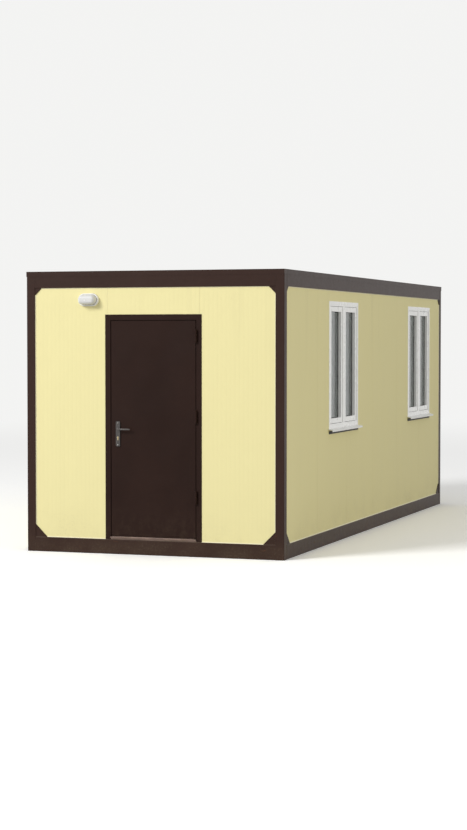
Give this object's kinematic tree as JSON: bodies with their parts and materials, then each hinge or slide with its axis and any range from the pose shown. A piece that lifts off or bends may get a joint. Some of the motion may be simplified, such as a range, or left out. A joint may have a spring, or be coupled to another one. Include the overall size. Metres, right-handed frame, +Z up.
{
  "type": "portable site cabin",
  "caption": "Portable site cabin with a brown steel frame, cream insulated wall panels, an outward opening door in the end wall and sash windows along one side.",
  "frame": {"origin": "on the ground, in the middle of the underside of the base frame", "axes": "+Z up, +Y from the door wall to the rear wall, +X towards the wall with the windows"},
  "size_m": [2.435, 6.075, 2.487],
  "materials": {
    "frame_paint": "semi-gloss dark brown paint",
    "door_paint": "satin dark brown paint",
    "handle_metal": "dull worn steel",
    "lock_brass": "dull nickelled brass",
    "threshold_metal": "scuffed bare aluminium",
    "wall_panel": "satin cream coated sheet",
    "window_glass": "clear",
    "window_sill": "satin white coated sheet",
    "window_plastic": "smooth white plastic",
    "floor_board": "brown coated plywood",
    "ceiling_sheet": "satin white coated sheet",
    "roof_metal": "weathered zinc coating",
    "light_plastic": "matte white plastic",
    "light_glass": "frosted white"
  },
  "bodies": {
    "cabin": {"base_cross_members": "frame_paint", "base_front_beam": "frame_paint", "base_rear_beam": "frame_paint", "base_side_beams": "frame_paint", "ceiling_panel": "ceiling_sheet", "corner_gussets": "frame_paint", "door_frame": "door_paint", "door_hinge_pins": "door_paint", "door_threshold": "threshold_metal", "floor_deck": "floor_board", "front_left_post": "frame_paint", "front_right_post": "frame_paint", "front_wall_left": "wall_panel", "front_wall_over_door": "wall_panel", "front_wall_right": "wall_panel", "front_window_frame": "window_plastic", "front_window_panes": "window_glass", "front_window_sashes": "window_plastic", "front_window_sill": "window_sill", "left_wall_panels": "wall_panel", "light_base": "light_plastic", "light_globe": "light_glass", "rear_left_post": "frame_paint", "rear_right_post": "frame_paint", "rear_wall_panels": "wall_panel", "rear_window_frame": "window_plastic", "rear_window_panes": "window_glass", "rear_window_sashes": "window_plastic", "rear_window_sill": "window_sill", "right_wall_panel_1": "wall_panel", "right_wall_panel_2": "wall_panel", "right_wall_panel_3": "wall_panel", "right_wall_panel_4": "wall_panel", "right_wall_panel_5": "wall_panel", "right_wall_panel_6": "wall_panel", "roof_edge_trim": "frame_paint", "roof_sheet": "roof_metal", "top_front_beam": "frame_paint", "top_rear_beam": "frame_paint", "top_side_beams": "frame_paint"},
    "door": {"door_leaf": "door_paint", "door_hinge_knuckles": "door_paint", "door_handle_plates": "handle_metal", "door_lock_cylinder": "lock_brass"},
    "handle": {"door_levers": "handle_metal"}
  },
  "joints": [
    {"name": "door_swing", "type": "hinge", "parent": "cabin", "child": "door", "pos_m": [0.4, -3.006, 1.1], "axis": [0, 0, 1], "range_deg": [0, 120]},
    {"name": "handle_turn", "type": "hinge", "parent": "door", "child": "handle", "pos_m": [-0.327, -2.994, 1.1], "axis": [0, 1, 0], "range_deg": [0, 40], "stiffness_Nm_per_rad": 1.2, "springref_deg": -17.19}
  ]
}
